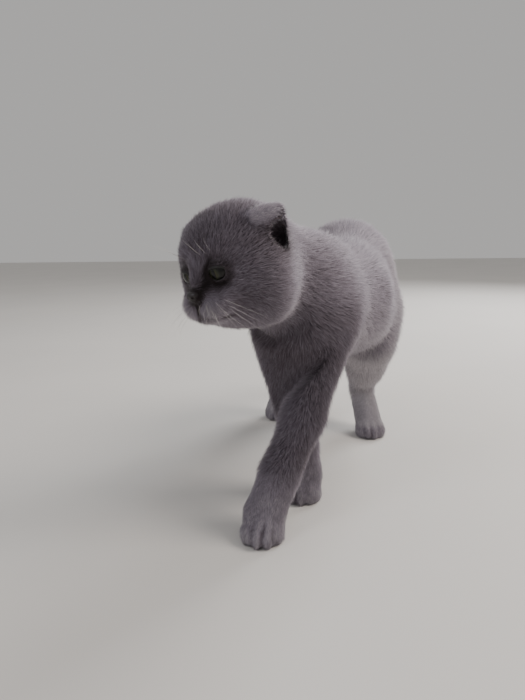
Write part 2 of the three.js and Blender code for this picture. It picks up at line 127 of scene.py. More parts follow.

# Markings on the head, some of them painted shade and light: change of tone, centre and sizes in mm, on
# both sides alike
MARKINGS_AND_SHADE = [
    (-0.22, (15, -38, 3.5), (13, 13, 11)),  # eye: painted shade round the eye
    (-0.12, (0, -34, 26), (26, 22, 20)),  # forehead, darker: partly the coat's own mask, partly painted shade
    (-0.22, (0, -52, -2), (8, 13, 12)),  # bridge of the nose, darker: partly the coat's own mask, partly painted shade
    (0.24, (11, -52, -19), (11, 10, 8)),  # whisker pad
    (0.16, (0, -46, -34), (16, 14, 8)),  # chin
    (0.16, (38, 4, -18), (18, 22, 26)),  # cheek, paler: partly the coat's own tone, partly painted light
    (-0.45, EAR_HOLLOW, (11, 12, 13)),  # painted shade in the ear's cup
    (-0.24, (36, -8, 15), (9, 10, 6)),  # painted shadow under the ear flap
]
FOLLICLE = (0.9, 3, 0.9)
# Painted shade on the chest, under the head: centre and sizes in mm
CHEST_SHADE = {"centre": (12, -140, 175), "sizes": (40, 40, 45)}

# Guard hairs: share of the tufts, least depth of coat in mm, length against a plain tuft, added share of
# its rise, bend below and above the rise in degrees, and triangles
GUARD_SHARE = 0.12
GUARD_DEPTH = 3.0
GUARD_LENGTH = 1.2
GUARD_LIFT = 0.2
GUARD_BEND = 14
GUARD_TRIANGLES = 10

# Coat: triangles of a plain tuft, of the whole coat and of one piece, depth of the roots in the skin,
# least height over the floor, and size of a tuft's patch in the bake map
TUFT_TRIANGLES = 4
COAT_TRIANGLES = 1_500_000
PIECE_TRIANGLES = 190_000
ROOT_SINK = 0.4 * MM
FLOOR_CLEARANCE = 0.1 * MM
BAKE_PATCH = 0.003

# Photo's camera: focal length in pixels of the 525 x 700 image, place and turn
FOCAL_PIXELS = 526
IMAGE_HEIGHT = 700
CAMERA_PLACE = Vector((117.1, -610.3, 256)) * MM
CAMERA_YAW, CAMERA_PITCH, CAMERA_ROLL = 17, -11.8, -1.2


# Small helpers

def deselect():
    bpy.ops.object.select_all(action="DESELECT")


def activate(piece):
    deselect()
    piece.select_set(True)
    bpy.context.view_layer.objects.active = piece


def new_piece(name, mesh):
    piece = bpy.data.objects.new(name, mesh)
    bpy.context.scene.collection.objects.link(piece)
    return piece


def apply_modifiers(piece):
    activate(piece)
    for modifier in list(piece.modifiers):
        bpy.ops.object.modifier_apply(modifier=modifier.name)


def smoothstep(low, high, x):
    t = np.clip((x - low) / (high - low), 0, 1)
    return t * t * (3 - 2 * t)


def unit(vectors):
    return vectors / np.maximum(np.linalg.norm(vectors, axis=1, keepdims=True), 1e-12)


def doubled_areas(triangles):
    """Twice the area of each triangle, from its three corners."""
    first, second, third = triangles[:, 0], triangles[:, 1], triangles[:, 2]
    return np.linalg.norm(np.cross(second - first, third - first), axis=1)


def read(collection, name, width, kind=np.float64):
    """A property of every item of a mesh's collection, as an array with width values a row."""
    values = np.empty(len(collection) * width, kind)
    collection.foreach_get(name, values)
    return values.reshape(-1, width) if width > 1 else values


def centre_of(name):
    low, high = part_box(name)
    return (low + high) / 2


# Head frame in the row frame

def head_rotation():
    x, y, z = (math.radians(angle) for angle in HEAD_TURN)
    return Matrix.Rotation(z, 3, "Z") @ Matrix.Rotation(x, 3, "X") @ Matrix.Rotation(y, 3, "Y")


HEAD_AXES = head_rotation()
BETWEEN_EYES = (centre_of("eye_left") + centre_of("eye_right")) / 2
HEAD_CENTRE = BETWEEN_EYES - HEAD_AXES @ Vector((0, EYE.y, EYE.z))


def on_head(x, y, z):
    """A point in mm in the head's frame, in the row frame."""
    return HEAD_CENTRE + HEAD_AXES @ (Vector((x, y, z)) * MM)


def head_space(points):
    """Points of the row frame, in mm in the head's frame."""
    return (points - np.array(HEAD_CENTRE)) @ np.array(HEAD_AXES) / MM


# Materials

def linear(hex_colour):
    """An sRGB hex colour as linear red, green, blue and alpha."""
    channels = [int(hex_colour[i : i + 2], 16) / 255 for i in (0, 2, 4)]
    return [c / 12.92 if c <= 0.04045 else ((c + 0.055) / 1.055) ** 2.4 for c in channels] + [1.0]


def new_material(name):
    material = bpy.data.materials.new(name)
    material.use_nodes = True
    return material, material.node_tree, material.node_tree.nodes["Principled BSDF"]


def add_node(tree, kind, settings=None, **links):
    """Adds a node, sets its properties and links its inputs, given by name, to sockets or values."""
    node = tree.nodes.new(kind)
    for key, value in (settings or {}).items():
        setattr(node, key, value)
    for key, value in links.items():
        numbered = key[0] == "i" and key[1:].isdigit()
        socket = node.inputs[int(key[1:]) if numbered else key.replace("_", " ")]
        if isinstance(value, bpy.types.NodeSocket):
            tree.links.new(value, socket)
        else:
            socket.default_value = value
    return node


def mix_colours(tree, share, first, second):
    """The colour socket of a mix from the first colour, at share 0, to the second."""
    return add_node(tree, "ShaderNodeMix", {"data_type": "RGBA"}, i0=share, i6=first, i7=second).outputs[2]


def calculate(tree, operation, *values):
    """The value socket of a math node."""
    links = {f"i{i}": value for i, value in enumerate(values)}
    return add_node(tree, "ShaderNodeMath", {"operation": operation}, **links).outputs[0]


def add_ramp(tree, share, places, colours):
    """The colour socket of a ramp with hex colours at the given places."""
    node = add_node(tree, "ShaderNodeValToRGB", i0=share)
    ramp = node.color_ramp
    while len(ramp.elements) < len(places):
        ramp.elements.new(0.5)
    for element, place, colour in zip(ramp.elements, places, colours):
        element.position = place
        element.color = linear(colour)
    return node.outputs[0]


def object_place(tree):
    return add_node(tree, "ShaderNodeTexCoord").outputs["Object"]


def set_inputs(shader, values):
    for name, value in values.items():
        shader.inputs[name].default_value = value


def plush_fur(name, bumpy):
    """Blue-grey plush: slate undercoat, grey shafts and silvery tips, soft with a faint sheen."""
    material, tree, shader = new_material(name)
    tone = add_node(tree, "ShaderNodeAttribute", {"attribute_name": "tone"})
    along = add_node(tree, "ShaderNodeAttribute", {"attribute_name": "along"})
    steps = (0, 0.3, 0.6, 1)
    root = add_ramp(tree, tone.outputs["Fac"], steps, ("140f10", "332c32", "5a525c", "8b848b"))
    tip = add_ramp(tree, tone.outputs["Fac"], steps, ("261d1e", "675d65", "9c94a0", "dad5d9"))
    fur = mix_colours(tree, along.outputs["Fac"], root, tip)
    pink = add_node(tree, "ShaderNodeAttribute", {"attribute_name": "pink"})
    colour = mix_colours(tree, pink.outputs["Fac"], fur, linear("8a6c64"))
    tree.links.new(colour, shader.inputs["Base Color"])
    if bumpy:
        grain = add_node(tree, "ShaderNodeTexNoise", Vector=object_place(tree), Scale=900, Detail=3)
        bump = add_node(tree, "ShaderNodeBump", Strength=0.5, Distance=0.0006, Height=grain.outputs["Fac"])
        tree.links.new(bump.outputs["Normal"], shader.inputs["Normal"])
    set_inputs(shader, {
        "Roughness": 0.62, "Specular IOR Level": 0.22,
        "Sheen Weight": 0.35, "Sheen Roughness": 0.45, "Sheen Tint": linear("dcd8dc"),
    })
    return material


def wet_eye(side):
    """A living eye: grey-green iris with fine spokes and a dark rim, slit pupil, wet clear cornea."""
    material, tree, shader = new_material(f"living_eye_{side}")
    centre, across, up, aim = eye_frame(side, GAZE)
    turn = Matrix((across, up, aim)).transposed().to_euler()
    place = add_node(
        tree, "ShaderNodeMapping", {"vector_type": "TEXTURE"},
        Vector=object_place(tree), Location=centre, Rotation=turn,
    )
    part = add_node(tree, "ShaderNodeSeparateXYZ", Vector=place.outputs[0])
    flat = add_node(tree, "ShaderNodeCombineXYZ", X=part.outputs["X"], Y=part.outputs["Y"])
    radius = add_node(tree, "ShaderNodeVectorMath", {"operation": "LENGTH"}, i0=flat.outputs[0])
    share = calculate(tree, "DIVIDE", radius.outputs["Value"], IRIS)
    angle = calculate(tree, "ARCTAN2", part.outputs["Y"], part.outputs["X"])
    polar = add_node(tree, "ShaderNodeCombineXYZ", X=angle, Y=share)
    stretch = add_node(tree, "ShaderNodeMapping", Vector=polar.outputs[0], Scale=(14, 1.6, 1))
    spokes = add_node(tree, "ShaderNodeTexNoise", Vector=stretch.outputs[0], Scale=1, Detail=4)
    jitter = calculate(tree, "MULTIPLY_ADD", spokes.outputs["Fac"], 0.34, -0.17)
    iris = add_ramp(
        tree, calculate(tree, "ADD", share, jitter), (0, 0.4, 0.62, 0.76, 0.86, 1),
        ("2a2718", "34341f", "282c20", "161813", "080706", "0c0a09"),
    )
    slim = calculate(tree, "DIVIDE", part.outputs["X"], PUPIL[0])
    tall = calculate(tree, "DIVIDE", part.outputs["Y"], PUPIL[1])
    oval = add_node(tree, "ShaderNodeCombineXYZ", X=slim, Y=tall)
    reach = add_node(tree, "ShaderNodeVectorMath", {"operation": "LENGTH"}, i0=oval.outputs[0])
    hole = add_node(tree, "ShaderNodeMapRange", Value=reach.outputs["Value"], From_Min=0.93, From_Max=1.1)
    tree.links.new(mix_colours(tree, hole.outputs[0], linear("050505"), iris), shader.inputs["Base Color"])
    set_inputs(shader, {
        "Roughness": 0.5, "Specular IOR Level": 0.1,
        "Coat Weight": 0.8, "Coat Roughness": 0.02, "Coat IOR": 1.36,
    })
    return material


def moist_leather(name, dark, light, pebble, roughness):
    """Bare nose or lid skin: dark slate leather with fine pebbles and a moist gloss."""
    material, tree, shader = new_material(name)
    pebbles = add_node(tree, "ShaderNodeTexVoronoi", Vector=object_place(tree), Scale=1 / pebble)
    mottle = add_node(tree, "ShaderNodeTexNoise", Vector=object_place(tree), Scale=220, Detail=3)
    colour = mix_colours(tree, mottle.outputs["Fac"], linear(dark), linear(light))
    height = pebbles.outputs["Distance"]
    bump = add_node(tree, "ShaderNodeBump", Strength=0.35, Distance=0.0002, Height=height)
    tree.links.new(colour, shader.inputs["Base Color"])
    tree.links.new(bump.outputs["Normal"], shader.inputs["Normal"])
    set_inputs(shader, {"Roughness": roughness})
    return material


def whisker_hair():
    """Stiff hair keratin: ivory white, smooth, darker towards the root."""
    material, tree, shader = new_material("whisker_keratin")
    along = add_node(tree, "ShaderNodeAttribute", {"attribute_name": "along"})
    colour = add_ramp(tree, along.outputs["Fac"], (0, 0.25, 1), ("8f8884", "e6e1da", "f4f1ec"))
    tree.links.new(colour, shader.inputs["Base Color"])
    set_inputs(shader, {"Roughness": 0.35})
    return material


def studio_floor():
    """Pale matt studio paper with a barely uneven tone."""
    material, tree, shader = new_material("studio_paper")
    tone = add_node(tree, "ShaderNodeTexNoise", Vector=object_place(tree), Scale=3, Detail=4)
    colour = mix_colours(tree, tone.outputs["Fac"], linear("cfccc8"), linear("dad7d3"))
    tree.links.new(colour, shader.inputs["Base Color"])
    set_inputs(shader, {"Roughness": 0.8})
    return material


# Skin

def merged_copy(name, growth=0):
    """A copy of a CAD mesh with its doubled points merged, grown outwards by a length."""
    mesh = nodes[name].data.copy()
    shape = bmesh.new()
    shape.from_mesh(mesh)
    bmesh.ops.remove_doubles(shape, verts=shape.verts, dist=MERGE_DISTANCE)
    shape.normal_update()
    for vertex in shape.verts:
        vertex.co += vertex.normal * growth
    shape.to_mesh(mesh)
    shape.free()
    mesh.materials.clear()
    return mesh


def nearest_parts(points):
    """The number in FLESH of the part nearest to each point, found from points spread over the parts."""
    spots, owners = [], []
    for index, name in enumerate(FLESH):
        mesh = nodes[name].data
        corners = read(mesh.vertices, "co", 3)
        faces = np.array([face.vertices[:] for face in mesh.polygons])
        corner = corners[faces]
        repeats = np.clip((doubled_areas(corner) / (2 * SPOT_AREA)).astype(int), 1, SPOTS_AT_MOST)
        chosen = np.repeat(np.arange(len(faces)), repeats)
        weights = rng.dirichlet((1, 1, 1), len(chosen))
        spots.append(np.einsum("ij,ijk->ik", weights, corner[chosen]))
        owners.append(np.full(len(chosen), index))
    spots = np.concatenate(spots)
    owners = np.concatenate(owners)
    tree = KDTree(len(spots))
    for i, spot in enumerate(spots):
        tree.insert(spot, i)
    tree.balance()
    return np.array([owners[tree.find(point)[1]] for point in points])


class Surface:
    """The skin's points, neighbours and values, as arrays."""

    def __init__(self, mesh):
        self.mesh = mesh
        self.refresh()
        self.edges = read(mesh.edges, "vertices", 2, np.int32)
        self.count = len(mesh.vertices)
        self.valence = np.maximum(np.bincount(self.edges.ravel(), minlength=self.count), 1)

    def refresh(self):
        self.points = read(self.mesh.vertices, "co", 3)
        self.normals = read(self.mesh.vertex_normals, "vector", 3)

    def spread(self, values, rounds, weight=0.5):
        """Averages values over neighbours, so that they change softly over the skin."""
        values = values.reshape(self.count, -1).astype(float)
        weight = np.broadcast_to(np.asarray(weight, float), (self.count,))[:, None]
        a, b = self.edges[:, 0], self.edges[:, 1]
        for _ in range(rounds):
            total = np.empty_like(values)
            for column in range(values.shape[1]):
                total[:, column] = np.bincount(a, values[b, column], self.count)
                total[:, column] += np.bincount(b, values[a, column], self.count)
            values += weight * (total / self.valence[:, None] - values)
        return values

    def move(self, points):
        self.mesh.vertices.foreach_set("co", points.ravel())
        self.mesh.update()
        self.refresh()


def face_share(points):
    """1 on the short-haired face, falling to 0 over the cheeks and crown."""
    q = head_space(points)
    return 1 - smoothstep(*FACE_REACH, np.linalg.norm(q - FACE_MIDDLE, axis=1))


def bare_share(points):
    """1 at the rims of the eyelids and the nose leather, where the coat ends, falling to 0 beside them."""
    share = 1 - smoothstep(*BARE_NOSE, np.linalg.norm(head_space(points) - NOSE, axis=1))
    for side in SIDES:
        reach = np.full(len(points), 1.0)
        for spot_on_rim in opening_outline(side):
            reach = np.minimum(reach, np.linalg.norm(points - spot_on_rim, axis=1))
        share = np.maximum(share, 1 - smoothstep(*BARE_LIDS, reach))
    return share


def make_skin():
    """One closed skin over the flesh and nose parts, fine on the head and feet and coarser elsewhere."""
    copies = [new_piece(f"{name}_copy", merged_copy(name, CUT_CLOSING)) for name in [*FLESH, "nose"]]
    deselect()
    for copy in copies:
        copy.select_set(True)
    bpy.context.view_layer.objects.active = copies[0]
    bpy.ops.object.join()
    skin = bpy.context.view_layer.objects.active
    skin.name = "skin"
    skin.data.name = "skin"
    skin.data.remesh_voxel_size = SKIN_GRID
    skin.data.remesh_voxel_adaptivity = 0
    bpy.ops.object.voxel_remesh()

    surface = Surface(skin.data)
    from_middle = np.linalg.norm(head_space(surface.points) - HEAD_MIDDLE, axis=1)
    head_near = 1 - smoothstep(*HEAD_DETAIL, from_middle)
    feet_near = 1 - smoothstep(*FEET_DETAIL, surface.points[:, 2] / MM)
    detail = np.maximum(head_near, feet_near)
    surface.move(surface.spread(surface.points, 3, 0.35))
    surface.move(surface.spread(surface.points, 70, 0.5 * (1 - detail) + 0.008))
    group = skin.vertex_groups.new(name="coarse")
    share = 1 - 0.85 * detail
    for level in range(11):
        chosen = np.flatnonzero(np.round(share * 10) == level)
        if len(chosen):
            group.add(chosen.tolist(), level / 10, "REPLACE")
    triangles = 2 * len(skin.data.polygons)
    thin = skin.modifiers.new("thin", "DECIMATE")
    thin.ratio = SKIN_TRIANGLES / triangles
    thin.vertex_group = "coarse"
    thin.use_collapse_triangulate = True
    apply_modifiers(skin)
    skin.vertex_groups.clear()
    bpy.ops.object.shade_smooth()
    return skin


def part_key(name):
    for key in sorted(COAT, key=len, reverse=True):
        if name.startswith(key):
            return key
    raise KeyError(name)


def lie_of(name):
    """The way the coat lies on a part: along a limb to its foot, back along the trunk."""
    if name.startswith(("foreleg", "shin", "thigh")):
        kind, side = name.split("_")
        foot = "forepaw" if kind == "foreleg" else "hindpaw"
        down = (centre_of(f"{foot}_{side}") - centre_of(name)).normalized()
        return (down + Vector((0, 0.35, 0))).normalized()
    if name.startswith(("forepaw", "hindpaw")):
        return Vector((0, -0.8, -0.6))
    if name == "tail_base":
        return Vector((0, 0.8, -0.6))
    if name == "tail_end":
        return Vector((0, 0.15, -1))
    if name == "neck":
        return Vector((0.25, 0.75, -0.6)).normalized()
    return Vector((0, 0.92, -0.4)).normalized()


def fold(q):
    """Head places with the right side laid over the left."""
    return np.column_stack([np.abs(q[:, 0]), q[:, 1:]])


def spot(q, centre, sizes):
    """1 at a place on both sides of the head, fading over the given sizes in mm."""
    return np.exp(-(((fold(q) - centre) / sizes) ** 2).sum(axis=1))


def line(q, path, width):
    """1 on a line over both sides of the head, fading over its width in mm."""
    q = fold(q)
    size = np.linalg.norm(q, axis=1, keepdims=True)
    nearest = np.full(len(q), 1e3)
    for start, end in zip(path, path[1:]):
        for share in np.linspace(0, 1, 9):
            aim = np.array(start) * (1 - share) + np.array(end) * share
            nearest = np.minimum(nearest, np.linalg.norm(q - size * aim / np.linalg.norm(aim), axis=1))
    return np.exp(-((nearest / width) ** 2))


def coat_fields(surface):
    """The coat's values at each point of the skin, the way it lies, and the share of inner ear."""
    owner = nearest_parts(surface.points)
    values = np.array([COAT[part_key(name)] for name in FLESH], float)[owner]
    lies = np.array([lie_of(name) for name in FLESH])[owner]
    q = head_space(surface.points)
    on_the_head = np.array([name == "head" for name in FLESH])[owner]
    on_ear = np.array([name.startswith("ear") for name in FLESH])[owner]
    outwards = unit(q - HAIR_PARTING) @ np.array(HEAD_AXES).T
    lies[on_the_head] = outwards[on_the_head]
    for side, sign in SIDES.items():
        chosen = np.array([name == f"ear_{side}" for name in FLESH])[owner]
        lies[chosen] = np.array(HEAD_AXES @ Vector((0.66 * sign, 0.75, -0.7)))
    values[on_ear] = COAT["head"]
    near = surface.spread(values, LOW_ROUNDS)
    low = 1 - smoothstep(*LOWER_LEGS, surface.points[:, 2] / MM)[:, None]
    values = near * low + surface.spread(values, HIGH_ROUNDS) * (1 - low)

    ruff = spot(q, RUFF["centre"], RUFF["sizes"]) * on_the_head
    values[:, DEPTH] += RUFF["depth"] * ruff
    values[:, RISE] += RUFF["rise"] * ruff
    share = surface.spread(face_share(surface.points) * on_the_head, 6)[:, 0]
    for column, value in enumerate(FACE_COAT):
        values[:, column] += share * (value - values[:, column])
    ear_share = surface.spread(on_ear.astype(float), 2)[:, 0]
    for column, value in enumerate(COAT["ear"]):
        values[:, column] += ear_share * (value - values[:, column])
    hollow = spot(q, EAR_HOLLOW, (13, 13, 14))
    values[:, DEPTH] += hollow * (HOLLOW_DEPTH - values[:, DEPTH])
    bare = bare_share(surface.points)
    values[:, DEPTH] += bare * (BARE_DEPTH - values[:, DEPTH])
    lies = surface.spread(lies, 60)
    values[:, TONE] = tones(surface, values[:, TONE], fold(q), ear_share)
    inner_ear = ear_share * smoothstep(0.1, 0.6, facing_hollow(surface, q))
    return np.column_stack([values, hairy_points(surface, q)]), lies, inner_ear


def facing_hollow(surface, q):
    """How squarely each point of the skin faces the ear's cup on its own side, from -1 to 1."""
    outward = surface.normals @ np.array(HEAD_AXES)
    outward[:, 0] *= np.sign(q[:, 0])
    return (outward * unit(EAR_HOLLOW - fold(q))).sum(axis=1)


def hairy_points(surface, q):
    """True where tufts grow: not on the nose leather and not in the eye sockets."""
    hairy = np.linalg.norm(q - NOSE, axis=1) > 5
    for side in SIDES:
        from_eye = np.linalg.norm(surface.points - centre_of(f"eye_{side}"), axis=1)
        hairy &= from_eye > EYEBALL + 1.0 * MM
    return hairy


def tones(surface, tone, q, ear):
    """The tone with the markings of head and ears, partly painted shade and light; painted shade on the
    chest, on the hind toes and in the grooves between toes and on the face; and a paler belly.
    """
    tone = tone.copy()
    for change, centre, sizes in MARKINGS_AND_SHADE:
        tone += change * spot(q, centre, sizes)
    tone -= 0.30 * bare_share(surface.points)
    tone -= 0.40 * line(q, MOUTH, 1.3)
    # Painted shade in the crease beside the nose
    tone -= 0.40 * line(q, NOSE_CREASE_SHADE, 3.0)
    # Painted shade on the lower, outer part of the ear flap, under its fold
    flap_edge_shade = smoothstep(6, 11, (q - EAR_ROOT) * (1, 1, 0) @ EAR_OUT) * (1 - smoothstep(25, 30, q[:, 2]))
    tone -= 0.25 * flap_edge_shade * ear
    for start in whisker_roots():
        tone -= 0.34 * spot(q, start, FOLLICLE)
    streaks = np.sin(q[:, 0] * 1.5 + 1.2 * np.sin(q[:, 2] * 0.21)) * spot(q, (4, -28, 24), (20, 20, 16))
    tone += 0.07 * streaks
    height = surface.points[:, 2] / MM
    # Painted shade on the chest, under the head
    from_chest = (surface.points / MM - CHEST_SHADE["centre"]) / CHEST_SHADE["sizes"]
    chest = np.exp(-(from_chest**2).sum(axis=1))
    tone -= 0.20 * chest
    # Painted shade on the hind toes, darker near the floor
    hind_toe_shade = (1 - smoothstep(13, 20, height)) * (surface.points[:, 1] > 0)
    tone -= 0.26 * hind_toe_shade
    tone += 0.10 * smoothstep(0.2, 0.7, -surface.normals[:, 2]) * (height > 60)
    # Painted shade in the skin's hollows on the face and between the toes, and a little painted light on
    # its rises
    hollows = surface.spread(surface.points, 6) - surface.points
    groove_shade = (hollows * surface.normals).sum(axis=1) / MM
    fine = np.maximum(face_share(surface.points), 1 - smoothstep(14, 30, height))
    return tone - 1.1 * fine * np.clip(groove_shade, -0.08, 0.3)


def unwrap(piece):
    """Lays the skin out in the bake map, which the tufts take their places from."""
    activate(piece)
    bpy.ops.object.mode_set(mode="EDIT")
    bpy.ops.mesh.select_all(action="SELECT")
    bpy.ops.uv.smart_project(angle_limit=math.radians(66), island_margin=0.001)
    bpy.ops.object.mode_set(mode="OBJECT")
    piece.data.uv_layers[0].name = "OFBake"


# Coat

def sample_roots(surface, values, mesh):
    """Tuft roots spread over the skin's triangles, closer where tufts are thin."""
    faces = read(mesh.loop_triangles, "vertices", 3, np.int32)
    loops = read(mesh.loop_triangles, "loops", 3, np.int32)
    area = doubled_areas(surface.points[faces]) / 2
    width = values[faces, WIDTH].mean(axis=1) * MM
    guarded = values[faces, DEPTH].mean(axis=1) > GUARD_DEPTH
    cost = TUFT_TRIANGLES + GUARD_SHARE * (GUARD_TRIANGLES - TUFT_TRIANGLES) * guarded
    density = area / width**2 * (values[faces, HAIRY].mean(axis=1) > 0.7)
    density *= COAT_TRIANGLES / (density * cost).sum()
    number = np.floor(density + rng.random(len(density))).astype(int)
    chosen = np.repeat(np.arange(len(faces)), number)
    weights = rng.dirichlet((1.1, 1.1, 1.1), len(chosen))
    uv = read(mesh.uv_layers["OFBake"].data, "uv", 2)[loops[chosen]]

    def blend(array):
        return np.einsum("ij,ij...->i...", weights, array[faces[chosen]])

    return blend, np.einsum("ij,ijk->ik", weights, uv), len(chosen)


def wave_noise(points, scale, seed):
    """A smooth value, mostly from -1 to 1, that wanders over a length of about scale."""
    draw = np.random.default_rng(seed)
    total = np.zeros(len(points))
    for _ in range(6):
        direction = draw.normal(size=3)
        direction /= np.linalg.norm(direction)
        phase = points @ direction * (2 * np.pi / scale) * draw.uniform(0.6, 1.5)
        total += np.sin(phase + draw.uniform(0, 7))
    return total / 3


def short_coat(depth):
    """1 where the coat is short and shows mostly its pale tips, 0 where it is deep."""
    return 1 - smoothstep(1.5, 5, depth)


def slant(lie, normal, angle):
    """Directions raised by an angle from the lie of the coat towards the skin's normal."""
    return lie * np.cos(angle)[:, None] + normal * np.sin(angle)[:, None]


def grow_tufts(surface, values, lies, mesh):
    """Root, middle, tip, width and tone of every tuft, from the coat's values where it stands."""
    blend, uv, count = sample_roots(surface, values, mesh)
    root = blend(surface.points)
    normal = unit(blend(surface.normals))
    lie = blend(lies)
    lie = unit(lie - normal * (lie * normal).sum(axis=1, keepdims=True) + 1e-6)
    depth, rise, width, tone, _ = blend(values).T
    side = np.cross(normal, lie)
    sway = 0.16 * wave_noise(root, 30 * MM, 3) + 0.10 * wave_noise(root, 7 * MM, 4)
    sway += 0.16 * rng.normal(size=count)
    lie = unit(lie + side * sway[:, None])
    side = np.cross(normal, lie)
    guard = (depth > GUARD_DEPTH) & (rng.random(count) < GUARD_SHARE)
    lift = 1 + 0.10 * wave_noise(root, 12 * MM, 5) + 0.16 * rng.normal(size=count) + GUARD_LIFT * guard
    short = short_coat(depth)
    clumps = 0.035 * wave_noise(root, 45 * MM, 6) + 0.05 * short * wave_noise(root, 5 * MM, 7)
    angle = np.radians(np.clip(rise * lift, 6, 78))
    length = depth * MM / np.sin(np.maximum(angle, np.radians(rise * 0.8))) * rng.uniform(0.7, 1.05, count)
    length *= np.where(guard, GUARD_LENGTH, 1)
    first = np.radians(np.clip(rise * lift + GUARD_BEND, 8, 84))
    last = np.radians(np.clip(rise * lift - GUARD_BEND, 2, 70))
    middle = root + slant(lie, normal, first) * (0.5 * length)[:, None]
    bent_tip = middle + slant(lie, normal, last) * (0.62 * length)[:, None]
    straight = slant(lie, normal, angle)
    return {
        "root": root - normal * ROOT_SINK,
        "middle": middle,
        "tip": np.where(guard[:, None], bent_tip, root + straight * length[:, None]),
        "side": side,
        "up": np.cross(straight, side),
        "width": width * MM * rng.uniform(0.8, 1.25, count),
        "tone": np.clip(tone + clumps + 0.08 * rng.normal(size=count), 0, 1),
        "start": 0.08 + 0.5 * short,
        "normal": normal,
        "uv": uv,
        "guard": guard,
    }


# A tuft's cross-section in widths, and its patch: the base ring, the middle ring and the tip
RING = np.array([[-0.5, -0.12], [0.5, -0.12], [0.0, 0.34]])
PATCH = BAKE_PATCH * np.array([
    [-0.4, -0.4], [0.4, -0.4], [0.0, -0.3],
    [-0.3, 0.1], [0.3, 0.1], [0.0, 0.15],
    [0.0, 0.45],
])


def above_floor(points):
    points[..., 2] = np.maximum(points[..., 2], FLOOR_CLEARANCE)
    return points


def store(mesh, name, values):
    attribute = mesh.attributes.new(name, "FLOAT", "POINT")
    attribute.data.foreach_set("value", values)


def tuft_mesh(name, tufts, chosen, guard):
    """One closed mesh of many tufts: two rings of three points and a tip, or one ring and a tip."""
    pick = {key: value[chosen] for key, value in tufts.items()}
    width = pick["width"][:, None, None]
    spread = RING[None, :, 0:1] * pick["side"][:, None, :] + RING[None, :, 1:2] * pick["up"][:, None, :]
    base = above_floor(pick["root"][:, None, :] + spread * width)
    tip = above_floor(pick["tip"][:, None, :])
    count = len(pick["root"])
    if guard:
        middle = above_floor(pick["middle"][:, None, :] + spread * width * 0.8)
        points = np.concatenate([base, middle, tip], axis=1)
        faces = [(0, 1, 4, 3), (1, 2, 5, 4), (2, 0, 3, 5), (3, 4, 6), (4, 5, 6), (5, 3, 6), (2, 1, 0)]
        along = np.array([0, 0, 0, 0.4, 0.4, 0.4, 1.0])
        patch = PATCH
    else:
        points = np.concatenate([base, tip], axis=1)
        faces = [(0, 1, 3), (1, 2, 3), (2, 0, 3), (2, 1, 0)]
        along = np.array([0, 0, 0, 1.0])
        patch = PATCH[[0, 1, 2, 6]]
    size = points.shape[1]
    pattern = np.concatenate([np.array(face) for face in faces])
    sizes = np.array([len(face) for face in faces])
    corners = (pattern[None, :] + (np.arange(count) * size)[:, None]).ravel()
    totals = np.tile(sizes, count)
    mesh = bpy.data.meshes.new(name)
    mesh.vertices.add(count * size)
    mesh.vertices.foreach_set("co", points.ravel())
    mesh.loops.add(len(corners))
    mesh.loops.foreach_set("vertex_index", corners)
    mesh.polygons.add(len(totals))
    mesh.polygons.foreach_set("loop_start", np.concatenate([[0], np.cumsum(totals)[:-1]]))
    mesh.polygons.foreach_set("use_smooth", np.ones(len(totals), bool))
    mesh.update(calc_edges=True)
    soft = 0.4 * read(mesh.vertex_normals, "vector", 3) + 0.6 * np.repeat(pick["normal"], size, axis=0)
    mesh.normals_split_custom_set_from_vertices(unit(soft))
    uv_map = mesh.uv_layers.new(name="OFBake")
    uv = (pick["uv"][:, None, :] + patch[None, pattern, :]).clip(0, 1)
    uv_map.data.foreach_set("uv", uv.ravel())
    start = pick["start"][:, None]
    store(mesh, "tone", np.repeat(pick["tone"], size))
    store(mesh, "along", (start + (1 - start) * along).ravel())
    return new_piece(name, mesh)


def add_coat(tufts, material):
    """Joins the tufts into pieces under the triangle limit, from nose to tail."""
    for guard, label, cost in ((False, "plush", TUFT_TRIANGLES), (True, "guard_hair", GUARD_TRIANGLES)):
        chosen = np.flatnonzero(tufts["guard"] == guard)
        chosen = chosen[np.argsort(tufts["root"][chosen, 1], kind="stable")]
        pieces = max(1, math.ceil(len(chosen) * cost / PIECE_TRIANGLES))
        for number, share in enumerate(np.array_split(chosen, pieces), 1):
            piece = tuft_mesh(f"{label}_{number}", tufts, share, guard)
            piece.data.materials.append(material)
            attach(piece, "root")


def dress():
    """The skin, drawn in by the coat's depth, with its tones, and the coat on it."""
    skin = make_skin()
    surface = Surface(skin.data)
    values, lies, inner_ear = coat_fields(surface)
    inset = surface.spread(values[:, DEPTH], 2)[:, 0]
    values[:, DEPTH] += 0.8 * surface.spread(values[:, DEPTH] < 2, 2)[:, 0]
    surface.move(surface.points - surface.normals * (inset * MM)[:, None])
    long_hair = smoothstep(3, 6, values[:, DEPTH])
    surface.move(surface.spread(surface.points, 14, 0.05 + 0.45 * long_hair))
    store(skin.data, "tone", np.clip(values[:, TONE], 0, 1))
    store(skin.data, "along", 0.25 + 0.4 * short_coat(values[:, DEPTH]))
    store(skin.data, "pink", 0.8 * inner_ear)
    unwrap(skin)
    surface = Surface(skin.data)
    skin.data.materials.append(plush_fur("plush_undercoat", True))
    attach(skin, "root")
    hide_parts(*FLESH)
    add_coat(grow_tufts(surface, values, lies, skin.data), plush_fur("plush_guard_hair", False))


# Eyes, lids and nose

def eye_frame(side, forward=EYE_AIM):
    """An eye's centre and its directions across, up and forwards."""
    aim = HEAD_AXES @ Vector((forward.x * SIDES[side], forward.y, forward.z))
    across = (HEAD_AXES @ Vector((0, 0, 1))).cross(aim).normalized()
    return centre_of(f"eye_{side}"), across, aim.cross(across), aim


